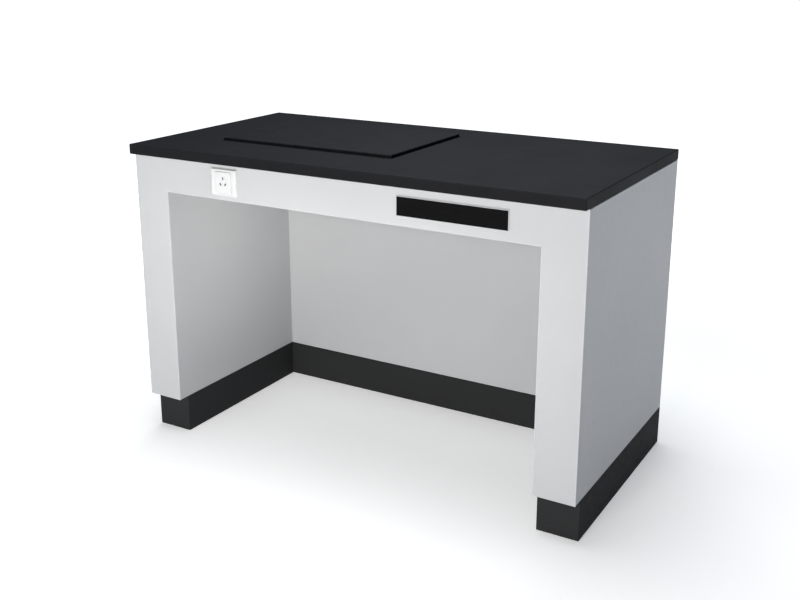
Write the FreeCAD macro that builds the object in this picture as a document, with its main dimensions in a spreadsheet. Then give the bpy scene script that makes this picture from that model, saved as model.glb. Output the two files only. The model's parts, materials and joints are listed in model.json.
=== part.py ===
import FreeCAD, Part
import math
import os
import re
import Sketcher
from FreeCAD import Placement, Rotation, Vector

# Driving sizes in millimetres
sizes = {
    # worktop
    "worktop_width": 1200,
    "worktop_depth": 620,
    "worktop_thickness": 25,
    "work_height": 775,
    "front_overhang": 20,
    "rear_reveal": 4,
    "worktop_chamfer": 1.5,
    # sheet casing
    "sheet": 1.5,
    "flange": 18,
    "bend": 2,
    "edge_round": 0.8,
    "leg_width": 100,
    "rear_space": 96,
    "apron_height": 90,
    "seam": 0.5,
    "notch_gap": 2,
    # plinth
    "plinth_height": 100,
    "plinth_recess": 30,
    "floor_gap": 2,
    # tube frame
    "tube": 40,
    "tube_wall": 2,
    "tube_corner": 2,
    "rail_height": 80,
    "front_setback": 52,
    "rear_setback": 26,
    "bracket_thickness": 3,
    "bracket_height": 40,
    "bracket_wing": 30,
    # weighing slab
    "slab_width": 494,
    "slab_depth": 346,
    "slab_thickness": 50,
    "slab_proud": 8,
    "slab_left_margin": 166,
    "slab_shift": 6,
    "slab_gap": 3,
    "slab_chamfer": 1.5,
    # slab carrier and its isolators
    "slab_pad_side": 40,
    "slab_pad_thickness": 3,
    "slab_pad_inset": 45,
    "carrier_thickness": 6,
    "carrier_margin": 12,
    "carrier_rim": 100,
    "carrier_round": 10,
    "isolator_radius": 16,
    "isolator_height": 24,
    "isolator_plate": 4,
    "isolator_plate_side": 36,
    "isolator_side": 65,
    "isolator_end": 55,
    "isolator_stud_radius": 4,
    "isolator_stud_length": 13,
    "isolator_nut_across": 13,
    "isolator_nut_height": 6.5,
    "beam_width": 50,
    "beam_height": 30,
    "beam_wall": 3,
    # general clearance of a screw in its hole
    "hole_gap": 0.2,
    # rear panel screws
    "panel_screw_radius": 2,
    "panel_screw_length": 9,
    "panel_screw_head": 3.8,
    "panel_screw_head_height": 2.4,
    "panel_screw_margin": 110,
    # levelling feet
    "foot_radius": 22,
    "foot_height": 8,
    "stud_radius": 5,
    "stud_length": 71,
    "stud_gap": 0.15,
    "stud_head_across": 17,
    "stud_head_height": 7,
    "foot_nut_across": 17,
    "foot_nut_height": 10,
    # power socket
    "socket_left_margin": 284,
    "socket_width": 74,
    "socket_tall": 66,
    "socket_depth": 7,
    "socket_round": 4,
    "socket_front_chamfer": 1.5,
    "socket_plate_width": 66,
    "socket_plate_tall": 58,
    "socket_plate_depth": 3,
    "socket_insert_width": 48,
    "socket_insert_tall": 52,
    "socket_insert_depth": 5,
    "socket_insert_round": 2,
    "socket_fit": 0.3,
    "socket_hole_width": 48,
    "socket_hole_tall": 46,
    "socket_body_depth": 26,
    "socket_clearance": 1.5,
    "socket_cell_depth": 21,
    "slot_width": 2.4,
    "slot_length": 7.4,
    "slot_tilt": 30,
    "earth_height": 9.5,
    "pole_spread": 7,
    "pole_drop": 4.5,
    "cell_width": 5.2,
    "cell_length": 9.6,
    "contact_leaf": 0.8,
    "contact_width": 7.4,
    "contact_height": 15,
    "contact_opening": 1.6,
    "socket_box_width": 64,
    "socket_box_tall": 58,
    "socket_box_depth": 34,
    "socket_box_wall": 1.5,
    "socket_box_lip": 8,
    "socket_box_entry": 8,
    "latch_reach": 1.5,
    "latch_tall": 12,
    "latch_depth": 5,
    # cable grommet
    "grommet_bore": 5,
    "grommet_neck": 8,
    "grommet_lip": 11,
    "grommet_lip_height": 2.4,
    "grommet_tail": 2.4,
    "grommet_side": 130,
    "grommet_height": 220,
    # label plate
    "label_right_margin": 172,
    "label_width": 268.5,
    "label_tall": 45.5,
    "label_thickness": 2.4,
    "label_rim": 1.4,
    "label_recess": 1,
    "label_fit": 0.3,
}

doc = FreeCAD.newDocument("BalanceTable")
sheet = doc.addObject("Spreadsheet::Sheet", "Sizes")
for row, (size_name, size_value) in enumerate(sizes.items(), 1):
    sheet.set(f"A{row}", size_name)
    sheet.set(f"B{row}", str(size_value))
    sheet.setAlias(f"B{row}", size_name)
doc.recompute()

# Main planes of the table, as formulas of the sizes
front = "(front_overhang - worktop_depth / 2)"
back = "(worktop_depth / 2 - rear_reveal)"
outer = "(worktop_width / 2)"
inner = "(worktop_width / 2 - leg_width)"
knee = f"({back} - rear_space)"
top = "(work_height - worktop_thickness)"
apron = f"({top} - apron_height)"
leg_middle = f"({outer} - leg_width / 2)"
front_frame = f"({front} + front_setback)"
rear_frame = f"({back} - rear_setback - tube)"
front_post = f"({front_frame} + tube / 2)"
rear_post = f"({rear_frame} + tube / 2)"
rail_end = f"({leg_middle} - tube / 2)"
rail_bottom = f"({top} - rail_height)"

slab_x = f"(slab_left_margin + slab_width / 2 - {outer})"
slab_y = f"(({front_frame} + tube + {rear_frame}) / 2 + slab_shift)"
slab_bottom = "(work_height + slab_proud - slab_thickness)"
carrier_top = f"({slab_bottom} - slab_pad_thickness)"
carrier_bottom = f"({carrier_top} - carrier_thickness)"
beam_top = f"({carrier_bottom} - isolator_height)"
beam_bottom = f"({beam_top} - beam_height)"
isolator_x = "(slab_width / 2 - isolator_side)"
isolator_y = "(slab_depth / 2 - isolator_end)"

socket_x = f"(socket_left_margin - {outer})"
apron_middle = f"({top} - apron_height / 2)"
socket_plate = f"({front} - socket_plate_depth)"
label_x = f"({outer} - label_right_margin - label_width / 2)"

sides = {"left": "-", "right": ""}
posts = {"front": front_post, "rear": rear_post}

made = []


def bind(formula):
    return re.sub(r"[a-z_]+", lambda word: f"Sizes.{word[0]}" if word[0] in sizes else word[0], formula)


def drive(item, **formulas):
    for name, formula in formulas.items():
        item.setExpression(name, bind(formula))


def place(item, x, y, z, turn=None):
    if turn:
        item.Placement = Placement(Vector(), turn)
    for axis, formula in zip("xyz", (x, y, z)):
        item.setExpression(f"Placement.Base.{axis}", bind(formula))


def keep(label, item):
    item.Label = label
    made.append(item)
    return item


# Solids with simple forms

def block(x, y, z, wide, deep, tall):
    item = doc.addObject("Part::Box", "Block")
    drive(item, Length=wide, Width=deep, Height=tall)
    place(item, x, y, z)
    return item


def rod(x, y, z, radius, length, turn=None):
    item = doc.addObject("Part::Cylinder", "Rod")
    drive(item, Radius=radius, Height=length)
    place(item, x, y, z, turn)
    return item


def hexagon(x, y, z, across, length):
    item = doc.addObject("Part::Prism", "Hexagon")
    item.Polygon = 6
    drive(item, Circumradius=f"{across} / sqrt(3)", Height=length)
    place(item, x, y, z)
    return item


def fuse(*items):
    item = doc.addObject("Part::MultiFuse", "Fuse")
    item.Shapes = list(items)
    return item


def cut(base, *tools):
    item = doc.addObject("Part::Cut", "Cut")
    item.Base = base
    item.Tool = tools[0] if len(tools) == 1 else fuse(*tools)
    return item


def group(label, items):
    item = doc.addObject("Part::Compound", label)
    item.Links = list(items)
    return keep(label, item)


# Bodies drawn as sketches

def new_body(label):
    return keep(label, doc.addObject("PartDesign::Body", label))


def rectangle(low_u, low_v, high_u, high_v):
    return [(low_u, low_v), (high_u, low_v), (high_u, high_v), (low_u, high_v)]


def centred(u, v, wide, tall):
    half_wide = f"({wide}) / 2"
    half_tall = f"({tall}) / 2"
    return rectangle(f"{u} - {half_wide}", f"{v} - {half_tall}", f"{u} + {half_wide}", f"{v} + {half_tall}")


def tilted(u, v, wide, tall, angle):
    corners = []
    for across, along in ((-1, -1), (1, -1), (1, 1), (-1, 1)):
        half_wide = f"({across} * {wide} / 2)"
        half_tall = f"({along} * {tall} / 2)"
        corner_u = f"{u} + {half_wide} * cos({angle} * 1 deg) + {half_tall} * sin({angle} * 1 deg)"
        corner_v = f"{v} - {half_wide} * sin({angle} * 1 deg) + {half_tall} * cos({angle} * 1 deg)"
        corners.append((corner_u, corner_v))
    return corners


def fix(sketch, kind, geometry, point, start, formula):
    number = sketch.addConstraint(Sketcher.Constraint(kind, geometry, point, start))
    sketch.setExpression(f"Constraints[{number}]", bind(formula))


def draw_loop(sketch, corners):
    count = len(corners)
    turn = 2 * math.pi / count
    starts = [Vector(100 * math.cos(turn * i), 100 * math.sin(turn * i), 0) for i in range(count)]
    lines = [Part.LineSegment(starts[i], starts[(i + 1) % count]) for i in range(count)]
    edges = sketch.addGeometry(lines, False)
    for i in range(count):
        sketch.addConstraint(Sketcher.Constraint("Coincident", edges[i], 2, edges[(i + 1) % count], 1))
    for edge, start, (u, v) in zip(edges, starts, corners):
        fix(sketch, "DistanceX", edge, 1, start.x, u)
        fix(sketch, "DistanceY", edge, 1, start.y, v)


def draw_circle(sketch, u, v, radius):
    circle = sketch.addGeometry(Part.Circle(Vector(10, 10, 0), Vector(0, 0, 1), 5), False)
    fix(sketch, "DistanceX", circle, 3, 10, u)
    fix(sketch, "DistanceY", circle, 3, 10, v)
    number = sketch.addConstraint(Sketcher.Constraint("Radius", circle, 5))
    sketch.setExpression(f"Constraints[{number}]", bind(radius))


def new_sketch(body, plane, level, loops=(), circles=()):
    sketch = body.newObject("Sketcher::SketchObject", "Sketch")
    support = [item for item in body.Origin.OriginFeatures if item.Role == f"{plane}_Plane"]
    sketch.AttachmentSupport = [(support[0], "")]
    sketch.MapMode = "FlatFace"
    offset = f"-({level})" if plane == "XZ" else level
    sketch.setExpression("AttachmentOffset.Base.z", bind(offset))
    for corners in loops:
        draw_loop(sketch, corners)
    for circle in circles:
        draw_circle(sketch, *circle)
    return sketch


def add_feature(body, kind, plane, level, length, loops=(), circles=(), forward=True):
    sketch = new_sketch(body, plane, level, loops, circles)
    feature = body.newObject(f"PartDesign::{kind}", kind)
    feature.Profile = sketch
    drive(feature, Length=length)
    along_normal = forward != (plane == "XZ")
    feature.Reversed = along_normal == (kind == "Pocket")
    return feature


def pad(body, plane, level, length, loops=(), circles=(), forward=True):
    return add_feature(body, "Pad", plane, level, length, loops, circles, forward)


def pocket(body, plane, level, length, loops=(), circles=(), forward=True):
    return add_feature(body, "Pocket", plane, level, length, loops, circles, forward)


def revolve(body, corners):
    sketch = new_sketch(body, "XZ", "0", [corners])
    feature = body.newObject("PartDesign::Revolution", "Revolution")
    feature.Profile = sketch
    feature.ReferenceAxis = (sketch, ["V_Axis"])
    feature.Angle = 360
    return feature


def ends_at(edge, axis, level):
    return all(abs(getattr(corner.Point, axis) - level) < 0.001 for corner in edge.Vertexes)


def runs_along(edge, axis):
    ends = [getattr(corner.Point, axis) for corner in edge.Vertexes]
    return len(ends) == 2 and abs(abs(ends[0] - ends[1]) - edge.Length) < 0.001


def soften(body, radius, wanted, kind="Fillet"):
    doc.recompute()
    base = body.Tip
    box = base.Shape.BoundBox
    names = [f"Edge{i}" for i, edge in enumerate(base.Shape.Edges, 1) if wanted(edge, box)]
    feature = body.newObject(f"PartDesign::{kind}", kind)
    feature.Base = (base, names)
    drive(feature, **{"Radius" if kind == "Fillet" else "Size": radius})
    return feature


# Worktop, bonded to the frame, with a cut-out for the slab

def make_worktop():
    body = new_body("worktop")
    board = centred("0", "0", "worktop_width", "worktop_depth")
    opening = centred(slab_x, slab_y, "slab_width + 2 * slab_gap", "slab_depth + 2 * slab_gap")
    pad(body, "XY", top, "worktop_thickness", [board, opening])

    def is_rim(edge, box):
        on_side = ends_at(edge, "x", box.XMin) or ends_at(edge, "x", box.XMax)
        on_end = ends_at(edge, "y", box.YMin) or ends_at(edge, "y", box.YMax)
        return on_side or on_end

    soften(body, "worktop_chamfer", is_rim, "Chamfer")


# Weighing station: slab, pads, carrier plate and four rubber isolators on two beams

def isolator_places():
    return [(f"{slab_x} {a} {isolator_x}", f"{slab_y} {b} {isolator_y}") for a in "-+" for b in "-+"]


def make_slab():
    body = new_body("weighing_slab")
    pad(body, "XY", slab_bottom, "slab_thickness", [centred(slab_x, slab_y, "slab_width", "slab_depth")])
    soften(body, "slab_chamfer", lambda edge, box: True, "Chamfer")


def make_slab_pads():
    pads = []
    for a in "-+":
        for b in "-+":
            x = f"{slab_x} {a} (slab_width / 2 - slab_pad_inset) - slab_pad_side / 2"
            y = f"{slab_y} {b} {isolator_y} / 2 - slab_pad_side / 2"
            pads.append(block(x, y, carrier_top, "slab_pad_side", "slab_pad_side", "slab_pad_thickness"))
    group("slab_pads", pads)


def make_carrier():
    body = new_body("slab_carrier")
    wide = "slab_width - 2 * carrier_margin"
    deep = "slab_depth - 2 * carrier_margin"
    plate = centred(slab_x, slab_y, wide, deep)
    window = centred(slab_x, slab_y, f"{wide} - 2 * carrier_rim", f"{deep} - 2 * carrier_rim")
    pad(body, "XY", carrier_bottom, "carrier_thickness", [plate, window])

    def is_outer_corner(edge, box):
        on_side = ends_at(edge, "x", box.XMin) or ends_at(edge, "x", box.XMax)
        return runs_along(edge, "z") and on_side

    soften(body, "carrier_round", is_outer_corner)


def make_isolators():
    rubbers = []
    bases = []
    nuts = []
    base_top = f"{beam_top} + isolator_plate"
    nut_bottom = f"{beam_top} - beam_wall - isolator_nut_height"
    for x, y in isolator_places():
        rubbers.append(rod(x, y, base_top, "isolator_radius", "isolator_height - isolator_plate"))
        side = "isolator_plate_side"
        plate = block(f"{x} - {side} / 2", f"{y} - {side} / 2", beam_top, side, side, "isolator_plate")
        stud = rod(x, y, f"{beam_top} - isolator_stud_length", "isolator_stud_radius", "isolator_stud_length")
        bases.append(fuse(plate, stud))
        nut = hexagon(x, y, nut_bottom, "isolator_nut_across", "isolator_nut_height")
        nuts.append(cut(nut, rod(x, y, nut_bottom, "isolator_stud_radius + hole_gap", "isolator_nut_height")))
    group("isolator_rubbers", rubbers)
    group("isolator_bases", bases)
    group("isolator_nuts", nuts)


def make_isolator_beam(side, sign):
    body = new_body(f"{side}_isolator_beam")
    x = f"{slab_x} {sign or '+'} {isolator_x}"
    low_x = f"{x} - beam_width / 2"
    high_x = f"{x} + beam_width / 2"
    low_wall = f"{low_x} + beam_wall"
    high_wall = f"{high_x} - beam_wall"
    ceiling = f"{beam_top} - beam_wall"
    channel = [(low_x, beam_bottom), (low_wall, beam_bottom), (low_wall, ceiling), (high_wall, ceiling),
               (high_wall, beam_bottom), (high_x, beam_bottom), (high_x, beam_top), (low_x, beam_top)]
    start = f"({front_frame} + tube)"
    pad(body, "XZ", start, f"{rear_frame} - {start}", [channel])
    soften(body, "bend", lambda edge, box: runs_along(edge, "y") and ends_at(edge, "z", box.ZMax))
    holes = [(x, f"{slab_y} {b} {isolator_y}", "isolator_stud_radius + hole_gap") for b in "-+"]
    pocket(body, "XY", beam_top, "beam_wall", circles=holes, forward=False)


# Tube frame

def make_tube(label, plane, level, length, u, v, wide, tall):
    body = new_body(label)
    hollow = centred(u, v, f"{wide} - 2 * tube_wall", f"{tall} - 2 * tube_wall")
    pad(body, plane, level, length, [centred(u, v, wide, tall), hollow])
    axis = {"XY": "z", "XZ": "y", "YZ": "x"}[plane]

    def is_outer_corner(edge, box):
        if not runs_along(edge, axis):
            return False
        others = [other for other in "xyz" if other != axis]
        limits = {"x": (box.XMin, box.XMax), "y": (box.YMin, box.YMax), "z": (box.ZMin, box.ZMax)}
        return all(any(ends_at(edge, other, limit) for limit in limits[other]) for other in others)

    soften(body, "tube_corner", is_outer_corner, "Chamfer")
    return body


def make_frame():
    rail_length = f"({rear_frame} + tube - {front_frame})"
    base_middle = "plinth_height - tube / 2"
    for side, sign in sides.items():
        x = f"{sign}{leg_middle}"
        for end, y in posts.items():
            height = f"{top} - tube - plinth_height"
            make_tube(f"{side}_{end}_post", "XY", "plinth_height", height, x, y, "tube", "tube")
        make_tube(f"{side}_top_rail", "XZ", front_frame, rail_length, x, f"{top} - tube / 2", "tube", "tube")
        base = make_tube(f"{side}_base_rail", "XZ", front_frame, rail_length, x, base_middle, "tube", "tube")
        holes = [(x, y, "stud_radius + stud_gap") for y in posts.values()]
        pocket(base, "XY", "plinth_height - tube", "tube_wall", circles=holes)
    start = f"-{rail_end}"
    length = f"2 * {rail_end}"
    make_tube("rear_base_rail", "YZ", start, length, rear_post, base_middle, "tube", "tube")
    for end, y in posts.items():
        make_tube(f"{end}_rail", "YZ", start, length, y, f"{top} - rail_height / 2", "tube", "rail_height")


def make_panel_brackets():
    brackets = []
    leg_height = f"({top} - plinth_height)"
    wing_ends = {"front": (f"{inner} + sheet", f"{outer} - sheet"), "rear": (rail_end, f"{outer} - sheet")}
    for sign in (-1, 1):
        for end, face in (("front", front_frame), ("rear", rear_frame)):
            low, high = wing_ends[end]
            web_x = f"-({high})" if sign < 0 else low
            for share in (0.25, 0.75):
                z = f"plinth_height + {leg_height} * {share} - bracket_height / 2"
                y = f"{face} - bracket_thickness"
                pieces = [block(web_x, y, z, f"({high}) - ({low})", "bracket_thickness", "bracket_height")]
                wings = [f"({high}) - bracket_thickness"]
                if end == "front":
                    wings.append(low)
                for wing in wings:
                    wing_x = f"-({wing}) - bracket_thickness" if sign < 0 else wing
                    wing_y = f"{y} - bracket_wing"
                    deep = "bracket_wing + bracket_thickness"
                    pieces.append(block(wing_x, wing_y, z, "bracket_thickness", deep, "bracket_height"))
                brackets.append(fuse(*pieces))
    group("panel_brackets", brackets)


# Sheet casing

def make_tray(label, plane, level, low_u, low_v, high_u, high_v, forward):
    body = new_body(label)
    pad(body, plane, level, "flange", [rectangle(low_u, low_v, high_u, high_v)], forward=forward)
    sign = "+" if forward else "-"
    floor = rectangle(f"{low_u} + sheet", f"{low_v} + sheet", f"{high_u} - sheet", f"{high_v} - sheet")
    pocket(body, plane, f"{level} {sign} sheet", "flange", [floor], forward=forward)
    return body


def round_ends(body, plane, outward):
    across = {"YZ": "y", "XZ": "x"}[plane]
    face_axis = {"YZ": "x", "XZ": "y"}[plane]

    def is_fold(edge, box):
        limits = {"x": (box.XMin, box.XMax), "y": (box.YMin, box.YMax)}[face_axis]
        face = limits[1] if outward > 0 else limits[0]
        at_end = ends_at(edge, "z", box.ZMin) or ends_at(edge, "z", box.ZMax)
        return runs_along(edge, across) and ends_at(edge, face_axis, face) and at_end

    soften(body, "bend", is_fold)


def rear_screw_heights():
    low = "plinth_height + panel_screw_margin"
    span = f"({top} - plinth_height - 2 * panel_screw_margin)"
    return [low, f"{low} + {span}"]


def make_side_panels():
    for side, sign in sides.items():
        level = f"{sign}{outer}"
        body = make_tray(f"{side}_side_panel", "YZ", level, f"{front} + sheet", "plinth_height",
                         f"{back} - sheet", top, forward=side == "left")
        x = f"{sign}({outer} - flange / 2)"
        holes = [(x, z, "panel_screw_radius + hole_gap") for z in rear_screw_heights()]
        pocket(body, "XZ", f"{back} - sheet", "sheet", circles=holes, forward=False)
        round_ends(body, "YZ", 1 if side == "right" else -1)


def make_inner_panels():
    rail_low = f"{front_frame} - notch_gap"
    rail_high = f"{front_frame} + tube + notch_gap"
    notch = rectangle(rail_low, f"{rail_bottom} - notch_gap", rail_high, f"{top} + notch_gap")
    for side, sign in sides.items():
        level = f"{sign}{inner}"
        forward = side == "right"
        label = f"{side}_inner_panel"
        body = make_tray(label, "YZ", level, f"{front} + sheet", "plinth_height", knee, top, forward)
        round_ends(body, "YZ", -1 if forward else 1)
        pocket(body, "YZ", level, "flange", [notch], forward=forward)


def make_knee_back_panel():
    reach = f"({inner} + flange)"
    body = make_tray("knee_back_panel", "XZ", knee, f"-{reach}", "plinth_height", reach, top, True)
    round_ends(body, "XZ", -1)
    notches = []
    for a in "-+":
        x = f"({slab_x} {a} {isolator_x})"
        low_x = f"{x} - (beam_width / 2 + notch_gap)"
        high_x = f"{x} + (beam_width / 2 + notch_gap)"
        notches.append(rectangle(low_x, f"{beam_bottom} - notch_gap", high_x, f"{top} + notch_gap"))
    pocket(body, "XZ", knee, "flange", notches)


def make_front_fascia():
    body = new_body("front_fascia")
    foot = "plinth_height"
    outline = [(f"-{outer}", foot), (f"-{inner}", foot), (f"-{inner}", apron), (inner, apron),
               (inner, foot), (outer, foot), (outer, top), (f"-{outer}", top)]
    window = centred(socket_x, apron_middle, "socket_hole_width", "socket_hole_tall")
    pad(body, "XZ", front, "sheet", [outline, window])
    reach = f"({inner} - seam)"
    low_return = rectangle(f"-{reach}", apron, reach, f"{apron} + sheet")
    high_return = rectangle(f"-{reach}", f"{top} - sheet", reach, top)
    pad(body, "XZ", f"{front} + sheet", "flange - sheet", [low_return, high_return])
    toes = []
    for sign in sides.values():
        toe_width = "leg_width - 2 * (flange + seam)"
        toes.append(centred(f"{sign}{leg_middle}", f"{foot} + sheet / 2", toe_width, "sheet"))
    pad(body, "XZ", f"{front} + sheet", "plinth_recess + flange - sheet", toes)

    def is_front_edge(edge, box):
        return ends_at(edge, "y", box.YMin) and edge.Length > 70

    soften(body, "edge_round", is_front_edge)


def make_rear_panel():
    body = new_body("rear_panel")
    holes = [(f"-{outer} + grommet_side", "grommet_height", "grommet_neck + hole_gap")]
    for sign in sides.values():
        for z in rear_screw_heights():
            holes.append((f"{sign}({outer} - flange / 2)", z, "panel_screw_radius + hole_gap"))
    sheet_outline = rectangle(f"-{outer}", "plinth_height", outer, top)
    pad(body, "XZ", back, "sheet", [sheet_outline], holes, forward=False)
    reach = f"({outer} - flange - seam)"
    low_return = rectangle(f"-{reach}", "plinth_height", reach, "plinth_height + sheet")
    high_return = rectangle(f"-{reach}", f"{top} - sheet", reach, top)
    pad(body, "XZ", f"{back} - sheet", "flange - sheet", [low_return, high_return], forward=False)


def make_rear_panel_screws():
    screws = []
    towards_front = Rotation(Vector(1, 0, 0), 90)
    for sign in sides.values():
        x = f"{sign}({outer} - flange / 2)"
        for z in rear_screw_heights():
            head_end = f"{back} + panel_screw_head_height"
            head = rod(x, head_end, z, "panel_screw_head", "panel_screw_head_height", towards_front)
            shank = rod(x, back, z, "panel_screw_radius", "panel_screw_length", towards_front)
            screws.append(fuse(head, shank))
    group("rear_panel_screws", screws)


# Plinth

def plinth_ring(sign, width):
    toe = f"({front} + plinth_recess)"
    end = f"({back} - sheet)"
    outer_face = f"{sign}{outer}"
    inner_face = f"{sign}{inner}"
    outer_wall = f"{sign}({outer} - {width})"
    inner_wall = f"{sign}({inner} + {width})"
    toe_wall = f"{toe} + {width}"
    return [(outer_face, end), (outer_face, toe), (inner_face, toe), (inner_face, knee),
            (inner_wall, knee), (inner_wall, toe_wall), (outer_wall, toe_wall), (outer_wall, end)]


def make_plinths():
    height = "plinth_height - floor_gap"
    shelf = "plinth_height - sheet"
    for side, sign in sides.items():
        body = new_body(f"{side}_plinth")
        pad(body, "XY", "floor_gap", height, [plinth_ring(sign, "sheet")])
        pad(body, "XY", shelf, "sheet", [plinth_ring(sign, "flange")])
        soften(body, "bend", lambda edge, box: runs_along(edge, "z") and ends_at(edge, "y", box.YMin))
    reach = f"({inner} + flange)"
    body = new_body("knee_plinth")
    pad(body, "XY", "floor_gap", height, [rectangle(f"-{reach}", knee, reach, f"{knee} + sheet")])
    pad(body, "XY", shelf, "sheet", [rectangle(f"-{reach}", knee, reach, f"{knee} + flange")])
    reach = f"({outer} - flange - seam)"
    body = new_body("rear_plinth")
    pad(body, "XY", "floor_gap", height, [rectangle(f"-{outer}", f"{back} - sheet", outer, back)])
    pad(body, "XY", shelf, "sheet", [rectangle(f"-{reach}", f"{back} - flange", reach, back)])


# Levelling feet

def make_feet():
    nuts = []
    nut_bottom = "plinth_height - tube - foot_nut_height"
    head_top = "foot_height + stud_head_height"
    for side, sign in sides.items():
        x = f"{sign}{leg_middle}"
        for end, y in posts.items():
            foot = new_body(f"foot_pad_{side}_{end}")
            revolve(foot, rectangle("0", "0", "foot_radius", "foot_height"))
            place(foot, x, y, "0")
            head = hexagon(x, y, "foot_height", "stud_head_across", "stud_head_height")
            thread = rod(x, y, head_top, "stud_radius", "stud_length")
            keep(f"foot_stud_{side}_{end}", fuse(head, thread))
            nut = hexagon(x, y, nut_bottom, "foot_nut_across", "foot_nut_height")
            nuts.append(cut(nut, rod(x, y, nut_bottom, "stud_radius + stud_gap", "foot_nut_height")))
    group("foot_nuts", nuts)


# Power socket in the apron

def pole_places():
    earth = (socket_x, f"{apron_middle} + earth_height", "0")
    left_pole = (f"{socket_x} - pole_spread", f"{apron_middle} - pole_drop", "(-slot_tilt)")
    right_pole = (f"{socket_x} + pole_spread", f"{apron_middle} - pole_drop", "slot_tilt")
    return [earth, left_pole, right_pole]


def is_corner(edge, box):
    on_side = ends_at(edge, "x", box.XMin) or ends_at(edge, "x", box.XMax)
    return runs_along(edge, "y") and on_side


def is_front_rim(edge, box):
    on_side = ends_at(edge, "x", box.XMin) or ends_at(edge, "x", box.XMax)
    on_end = ends_at(edge, "z", box.ZMin) or ends_at(edge, "z", box.ZMax)
    return ends_at(edge, "y", box.YMin) and (on_side or on_end)


def make_socket_frame():
    body = new_body("socket_frame")
    plate = centred(socket_x, apron_middle, "socket_width", "socket_tall")
    window = centred(socket_x, apron_middle, "socket_insert_width + 2 * socket_fit",
                     "socket_insert_tall + 2 * socket_fit")
    recess = centred(socket_x, apron_middle, "socket_plate_width + 2 * socket_fit",
                     "socket_plate_tall + 2 * socket_fit")
    pad(body, "XZ", front, "socket_depth", [plate, window], forward=False)
    soften(body, "socket_round", is_corner)
    soften(body, "socket_front_chamfer", is_front_rim, "Chamfer")
    pocket(body, "XZ", front, "socket_plate_depth + socket_fit", [recess], forward=False)


def make_socket_insert():
    body = new_body("socket_insert")
    face = centred(socket_x, apron_middle, "socket_insert_width", "socket_insert_tall")
    slots = [tilted(x, z, "slot_width", "slot_length", angle) for x, z, angle in pole_places()]
    pad(body, "XZ", socket_plate, "socket_insert_depth", [face] + slots, forward=False)
    soften(body, "socket_insert_round", is_corner)


def make_socket_base():
    body = new_body("socket_base")
    plate = centred(socket_x, apron_middle, "socket_plate_width", "socket_plate_tall")
    core = centred(socket_x, apron_middle, "socket_hole_width - 2 * socket_clearance",
                   "socket_hole_tall - 2 * socket_clearance")
    latches = centred(socket_x, apron_middle, "socket_hole_width + 2 * latch_reach", "latch_tall")
    cells = [tilted(x, z, "cell_width", "cell_length", angle) for x, z, angle in pole_places()]
    pad(body, "XZ", socket_plate, "socket_plate_depth", [plate])
    pad(body, "XZ", front, "socket_body_depth", [core])
    pad(body, "XZ", f"{front} + sheet", "latch_depth", [latches])
    pocket(body, "XZ", socket_plate, "socket_cell_depth", cells)


def make_socket_contacts():
    contacts = []
    floor = f"{socket_plate} + socket_cell_depth"
    for x, z, angle in pole_places():
        half_opening = "contact_opening / 2"
        low_z = "-contact_width / 2"
        tall = "contact_width"
        leaves = []
        for low_x in (f"-{half_opening} - contact_leaf", half_opening):
            leaves.append(block(low_x, "-contact_height", low_z, "contact_leaf", "contact_height", tall))
        bridge = block(f"-{half_opening}", "-contact_leaf", low_z, "contact_opening", "contact_leaf", tall)
        clip = fuse(*leaves, bridge)
        place(clip, x, floor, z, Rotation(Vector(0, 1, 0), 1))
        drive(clip, **{"Placement.Rotation.Angle": angle})
        contacts.append(clip)
    group("socket_contacts", contacts)


def make_socket_box():
    body = new_body("socket_back_box")
    rim = f"({front} + sheet)"
    shell = centred(socket_x, apron_middle, "socket_box_width", "socket_box_tall")
    hollow = centred(socket_x, apron_middle, "socket_box_width - 2 * socket_box_wall",
                     "socket_box_tall - 2 * socket_box_wall")
    lips = centred(socket_x, apron_middle, "socket_box_width + 2 * socket_box_lip", "socket_box_tall")
    entry = (f"{rim} + socket_box_depth / 2", apron_middle, "socket_box_entry")
    pad(body, "XZ", rim, "socket_box_depth", [shell])
    pad(body, "XZ", rim, "socket_box_wall", [lips])
    pocket(body, "XZ", rim, "socket_box_depth - socket_box_wall", [hollow])
    pocket(body, "YZ", f"{socket_x} - socket_box_width / 2", "socket_box_wall", circles=[entry])


# Cable grommet in the rear panel

def make_grommet():
    lip = rod("0", "0", "sheet", "grommet_lip", "grommet_lip_height")
    neck = rod("0", "0", "-grommet_tail", "grommet_neck", "sheet + grommet_tail")
    bore = rod("0", "0", "-grommet_tail", "grommet_bore", "grommet_tail + sheet + grommet_lip_height")
    grommet = keep("cable_grommet", cut(fuse(lip, neck), bore))
    to_back = Rotation(Vector(1, 0, 0), -90)
    place(grommet, f"-{outer} + grommet_side", f"{back} - sheet", "grommet_height", to_back)


# Label plate on the apron

def make_label():
    body = new_body("label_holder")
    plate = centred(label_x, apron_middle, "label_width", "label_tall")
    recess = centred(label_x, apron_middle, "label_width - 2 * label_rim", "label_tall - 2 * label_rim")
    pad(body, "XZ", front, "label_thickness", [plate], forward=False)
    pocket(body, "XZ", f"{front} - label_thickness", "label_recess", [recess])
    insert = new_body("label_insert")
    margin = "2 * (label_rim + label_fit)"
    card = centred(label_x, apron_middle, f"label_width - {margin}", f"label_tall - {margin}")
    pad(insert, "XZ", f"{front} - label_thickness + label_recess", "label_recess", [card], forward=False)


make_worktop()
make_slab()
make_slab_pads()
make_carrier()
make_isolators()
for side_name, side_sign in sides.items():
    make_isolator_beam(side_name, side_sign)
make_frame()
make_panel_brackets()
make_side_panels()
make_inner_panels()
make_knee_back_panel()
make_front_fascia()
make_rear_panel()
make_rear_panel_screws()
make_plinths()
make_feet()
make_socket_frame()
make_socket_insert()
make_socket_base()
make_socket_contacts()
make_socket_box()
make_grommet()
make_label()
doc.recompute()

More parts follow.
